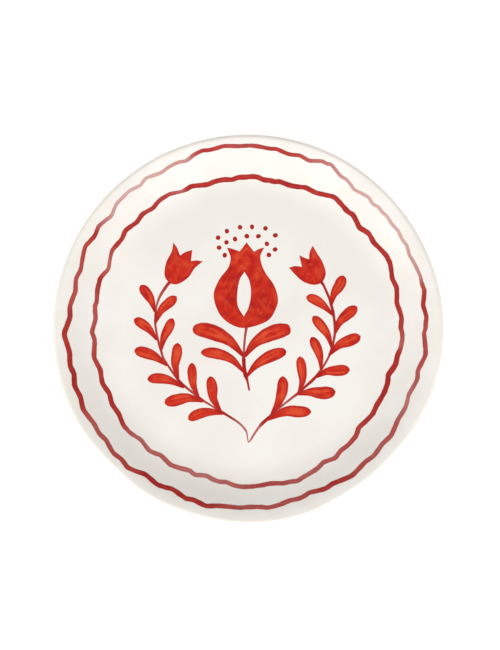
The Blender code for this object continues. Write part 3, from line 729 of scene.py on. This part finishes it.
for number, (node, (leaf_width, *route)) in enumerate(LEAVES.items()):
    piece = shape_with(
        leaf_tree, node + "_pressed", [on_floor(route)],
        {"Spacing": 0.25 * MM, "Width": leaf_width * MM, "Bluntness": BLUNT_ENDS.get(node, 0.0),
         "Lift": (0.07 + 0.001 * number) * MM, "Round start": LEAF_ROUNDING, "Round end": 0.8 * MM,
         "Unsteadiness": 0.14, "Seed": 10.0 + number, "Glaze": glaze, "Paint": leaf_paint},
    )
    stands_for(piece, "red_paint", node)

# ---- The fruit and the tulips ----
# The pomegranate with its crown and its lens-shaped opening, and the two tulips on the branches. Each was
# outlined with the brush and then filled in with strokes that follow the outline.

# Outlines in mm on the floor. A third value of 1 marks a sharp corner.
FRUIT_OUTLINE = (
    (-14.8, 57.8, 1), (-12.6, 57.8, 0), (-5.8, 55.5, 1), (-1, 62, 1), (4.3, 55.3, 1), (8, 57.3, 0),
    (11.7, 58.2, 1), (9.6, 54.4, 0), (8.8, 51.3, 0), (9.8, 46, 0), (12.6, 39.9, 0), (18.3, 31.6, 0),
    (21.1, 22.8, 0), (20, 15.3, 0), (13.8, 6.1, 0), (-1.5, 1, 0), (-12.3, 3.8, 0), (-20.4, 11.5, 0),
    (-24.2, 24.3, 0), (-20.3, 35.4, 0), (-14, 43.8, 0), (-12.3, 50.4, 0), (-13.2, 54, 0),
)
FRUIT_OPENING = (
    (-2.4, 40.8, 1), (1, 34.2, 0), (2.1, 25, 0), (0.4, 15.7, 0), (-2.9, 9.2, 1), (-7, 16.5, 0),
    (-7.5, 25, 0), (-5.8, 35.1, 0),
)
LEFT_TULIP_OUTLINE = (
    (-52.9, 61.9, 1), (-50.2, 58.3, 0), (-49.2, 55.8, 0), (-47.9, 52.6, 1), (-44.4, 54.9, 0),
    (-39.3, 56.6, 1), (-40.2, 48.6, 1), (-36.3, 49, 0), (-31.8, 48.3, 1), (-37.5, 43.4, 0),
    (-42.1, 36.8, 0), (-49.5, 32.1, 0), (-55.3, 33.1, 0), (-58.9, 38.5, 0), (-57.8, 47.5, 0),
    (-53.9, 55.6, 0),
)
RIGHT_TULIP_OUTLINE = (
    (45.8, 59.6, 1), (44, 56, 0), (43.3, 53, 0), (43.3, 50, 1), (40.8, 50.6, 0), (36.2, 52.8, 1),
    (38.1, 44.5, 1), (33.1, 45, 0), (28.8, 43.8, 1), (33.5, 38.7, 0), (36.9, 35.4, 0), (40.8, 33, 0),
    (47, 31.6, 0), (52.4, 33.6, 0), (55, 40, 0), (52.7, 47.9, 0), (48.9, 54.2, 0),
)
FILL_SPACING = 0.6 * MM
EDGE_ROUNDING = 0.5 * MM
RIM_REACH = 0.01 * MM


def smooth_outline(points):
    """A closed outline through the points, straight into its corners and smooth at the others."""
    corners = [(Vector((x, y)) * MM, is_corner) for x, y, is_corner in points]
    outline = []
    for i, (start, start_sharp) in enumerate(corners):
        end, end_sharp = corners[(i + 1) % len(corners)]
        before = corners[i - 1][0]
        after = corners[(i + 2) % len(corners)][0]
        leave = (end - start) / 3 if start_sharp else (end - before) / 6
        arrive = (end - start) / 3 if end_sharp else (after - start) / 6
        steps = max(2, math.ceil((end - start).length / FILL_SPACING))
        outline += [p.to_2d() for p in interpolate_bezier(
            start.to_3d(), (start + leave).to_3d(), (end - arrive).to_3d(), end.to_3d(), steps + 1)[:-1]]
    return outline


def inside_loops(point, loops):
    """Whether a point lies inside an odd number of the loops."""
    inside = False
    for loop in loops:
        for a, b in zip(loop, loop[1:] + loop[:1]):
            if (a.y > point.y) == (b.y > point.y):
                continue
            if point.x < a.x + (point.y - a.y) * (b.x - a.x) / (b.y - a.y):
                inside = not inside
    return inside


def filled_area(name, node, outlines, middle, lift, finish):
    """An area of paint between its outlines, as a thin closed body. Its points carry how far they are from
    the nearest edge, and their direction from the middle of the area."""
    loops = [smooth_outline(outline) for outline in outlines]
    rim = [point for loop in loops for point in loop]
    edges, first = [], 0
    for loop in loops:
        edges += [(first + i, first + (i + 1) % len(loop)) for i in range(len(loop))]
        first += len(loop)
    tree = KDTree(len(rim))
    for i, point in enumerate(rim):
        tree.insert(point.to_3d(), i)
    tree.balance()
    low = Vector((min(p.x for p in rim), min(p.y for p in rim)))
    high = Vector((max(p.x for p in rim), max(p.y for p in rim)))
    inner = []
    for j in range(int((high.y - low.y) / FILL_SPACING) + 1):
        for i in range(int((high.x - low.x) / FILL_SPACING) + 1):
            point = low + Vector(((i + j % 2 / 2) * FILL_SPACING, j * FILL_SPACING))
            if inside_loops(point, loops) and tree.find(point.to_3d())[2] > FILL_SPACING / 2:
                inner.append(point)
    flat, _, faces, *_ = delaunay_2d_cdt(rim + inner, edges, [], 1, 0.000001)
    faces = [face for face in faces
             if inside_loops(sum((flat[i] for i in face), Vector((0, 0))) / len(face), loops)]
    corners, distances, turns, tops, backs = [], [], [], {}, {}
    centre = Vector(middle) * MM
    for i in sorted({i for face in faces for i in face}):
        distance = tree.find(flat[i].to_3d())[2]
        _, ground, *_ = glaze.ray_cast((*flat[i], 0.1), (0, 0, -1))
        shape = min(distance / EDGE_ROUNDING, 1) ** 0.5
        offsets = [0] if distance < RIM_REACH else [lift * shape, -SINK * shape]
        tops[i] = len(corners)
        backs[i] = len(corners) + len(offsets) - 1
        corners += [(*flat[i], ground.z + offset) for offset in offsets]
        distances += [distance] * len(offsets)
        turns += [math.atan2(*(flat[i] - centre))] * len(offsets)
    sides = [tuple(tops[i] for i in face) for face in faces]
    sides += [tuple(backs[i] for i in reversed(face)) for face in faces]
    mesh = bpy.data.meshes.new(name)
    mesh.from_pydata(corners, [], sides)
    mesh.attributes.new("edge", "FLOAT", "POINT").data.foreach_set("value", distances)
    mesh.attributes.new("turn", "FLOAT", "POINT").data.foreach_set("value", turns)
    mesh.shade_smooth()
    at_rim = [all(distances[i] < RIM_REACH for i in edge.vertices) for edge in mesh.edges]
    mesh.attributes.new("sharp_edge", "BOOLEAN", "EDGE").data.foreach_set("value", at_rim)
    mesh.materials.append(finish)
    piece = bpy.data.objects.new(name, mesh)
    scene.collection.objects.link(piece)
    stands_for(piece, "red_paint", node)


fill_paint, bench, shader = new_material("red_fill_paint", 0.18)
edge_distance, turn = marks_of(bench, "edge", "turn")
round_x, round_y = bench.maths("SINE", turn), bench.maths("COSINE", turn)
hairs = bench.noise(bench.vector(round_x * 3.2, round_y * 3.2, edge_distance * 620), 1.0, 3.0)
pool = bench.noise(bench.node("ShaderNodeTexCoord").out("Object"), 70.0, 2.0)
edge = edge_distance.between(1.0 * MM, 0.4 * MM) * 0.5
streak = hairs.between(0.5, 0.75) * edge_distance.between(0.8 * MM, 2.5 * MM) * 0.55
depth = pool.between(0.5, 0.75) * 0.5
feather = edge_distance.between(0.3 * MM, 0.0) * FEATHER
red_paint(bench, shader, (RED, LIGHT_RED, DEEP_RED), hairs, edge, streak, depth, feather)

filled_area("pomegranate_fruit_filled", "pomegranate_fruit", (FRUIT_OUTLINE, FRUIT_OPENING), (-2.6, 25),
            0.05 * MM, fill_paint)
filled_area("left_tulip_filled", "left_tulip", (LEFT_TULIP_OUTLINE,), (-50, 30), 0.07 * MM, fill_paint)
filled_area("right_tulip_filled", "right_tulip", (RIGHT_TULIP_OUTLINE,), (47, 30), 0.07 * MM, fill_paint)

# ---- The stamens ----
# Fifteen dots over the crown of the fruit, set with the tip of the brush. No two are quite the same size
# or quite round, and the colour stands a little thicker in them.

STAMENS = (
    (-14.9, 69.9), (-5.6, 72.7), (2.9, 72.9), (12.4, 71.9), (19.4, 66.9), (-21.1, 65.2), (-9.1, 64.2),
    (-0.8, 66.3), (7.4, 66.3), (-15.2, 61.9), (13.4, 60.8), (-20.4, 58.1), (19.2, 56.8), (-16.4, 52.7),
    (14.8, 52.9),
)
DOT_RADIUS = 1.7 * MM

dots, widths = [], []
for number, (x, y) in enumerate(STAMENS):
    lean = Vector((math.cos(2.4 * number), math.sin(2.4 * number))) * DOT_RADIUS
    size = 0.92 + 0.16 * (number * 7 % 15) / 14
    centre = Vector((x, y)) * MM
    dots.append([(*(centre - lean * size), 0), (*centre, 0), (*(centre + lean * size), 0)])
    widths += [DOT_RADIUS * (2 - size)] * 3
stamens = shape_with(
    line_tree, "stamen_dots_set", dots,
    {"Spacing": 0.16 * MM, "Lift": 0.09 * MM, "Round start": DOT_RADIUS, "Round end": DOT_RADIUS,
     "Unsteadiness": 0.35, "Seed": 50.0, "Glaze": glaze, "Paint": line_paint},
    marks={"half_width": widths},
)
stands_for(stamens, "red_paint", *[f"stamen_dot_{number:02d}" for number in range(1, len(STAMENS) + 1)])

# ---- The studio ----
# A lit white table, soft light from all round, and a soft box on either side below the plate. The camera
# looks down on it, almost from above.

bpy.ops.mesh.primitive_grid_add(x_subdivisions=8, y_subdivisions=8, size=8)
table = bpy.context.object
table.name = "white_table"
table.location.z = -0.02 * MM
table_white, bench, shader = new_material("white_table", 0.9)
place = bench.node("ShaderNodeTexCoord").out("Object")
tone = bench.mixed(bench.noise(place, 3.0, 2.0), colour(250, 250, 250), colour(253, 253, 253))
bench.tree.links.new(tone.socket, shader.inputs["Base Color"])
shader.inputs["Emission Color"].default_value = (1, 1, 1, 1)
shader.inputs["Emission Strength"].default_value = 0.3
table.data.materials.append(table_white)

# How brightly each side of the room glows. It is brightest in front, where the window is, and dim straight
# above, behind the camera. What shows behind the plate is plain white.
FRONT_GLOW = 1.09
LOW_BACK_GLOW = 0.26
HIGH_BACK_GLOW = 0.7
GLOW_ABOVE = 0.42

world = bpy.data.worlds.new("white_room")
world.use_nodes = True
room = Bench(world.node_tree)
room_x, room_y, room_up = room.split(room.node("ShaderNodeTexCoord"))
front = 0.5 - room_y / (room_x ** 2 + room_y ** 2 + 0.0001) ** 0.5 * 0.5
back_glow = LOW_BACK_GLOW + (HIGH_BACK_GLOW - LOW_BACK_GLOW) * room_up.between(0.2, 0.5)
above_camera = room_up.between(0.9, 0.98)
glow = FRONT_GLOW * front + back_glow * (1 - front)
glow = glow * (1 - above_camera) + GLOW_ABOVE * above_camera
glow = glow + room_up.between(0.02, -0.03)
backdrop = room.node("ShaderNodeLightPath").out("Is Camera Ray")
glow = glow * (1 - backdrop) + backdrop
sky = world.node_tree.nodes["Background"]
sky.inputs["Color"].default_value = (0.995, 0.998, 1, 1)
world.node_tree.links.new(glow.socket, sky.inputs["Strength"])
scene.world = world
scene.view_settings.view_transform = "Standard"

LAMP_DISTANCE = 1.2
LAMP_ELEVATION = 31
LAMP_HEIGHT = 0.34
LAMP_BRIGHTNESS = 4.6
rim_middle = Vector((0, 0, 25.9 * MM))


def towards(angle, elevation):
    """The direction at an angle round from +X and an elevation above the table, in degrees."""
    turn, up = math.radians(angle), math.radians(elevation)
    return Vector((math.cos(turn) * math.cos(up), math.sin(turn) * math.cos(up), math.sin(up)))


def soft_box(name, angle, width):
    lamp = bpy.data.lights.new(name, "AREA")
    lamp.shape = "RECTANGLE"
    lamp.size = width
    lamp.size_y = LAMP_HEIGHT
    lamp.energy = LAMP_BRIGHTNESS * math.pi * width * LAMP_HEIGHT
    stand = bpy.data.objects.new(name, lamp)
    stand.location = rim_middle + towards(angle, LAMP_ELEVATION) * LAMP_DISTANCE
    stand.rotation_euler = towards(angle, LAMP_ELEVATION).to_track_quat("Z", "Y").to_euler()
    scene.collection.objects.link(stand)


soft_box("left_soft_box", 217, 0.85)
soft_box("right_soft_box", 308, 0.66)

CAMERA_DISTANCE = 1.0646
CAMERA_ELEVATION = 84.5
OFF_CENTRE = Vector((1.46, 1.7, 0)) * MM  # the plate's middle is this far from the middle of the view

view_direction = towards(-90, CAMERA_ELEVATION)
lens = bpy.data.cameras.new("camera")
lens.lens = 85
lens.sensor_width = 36
camera = bpy.data.objects.new("camera", lens)
camera.rotation_euler = view_direction.to_track_quat("Z", "Y").to_euler()
aim = rim_middle + camera.rotation_euler.to_matrix() @ OFF_CENTRE
camera.location = aim + view_direction * CAMERA_DISTANCE
scene.collection.objects.link(camera)
scene.camera = camera
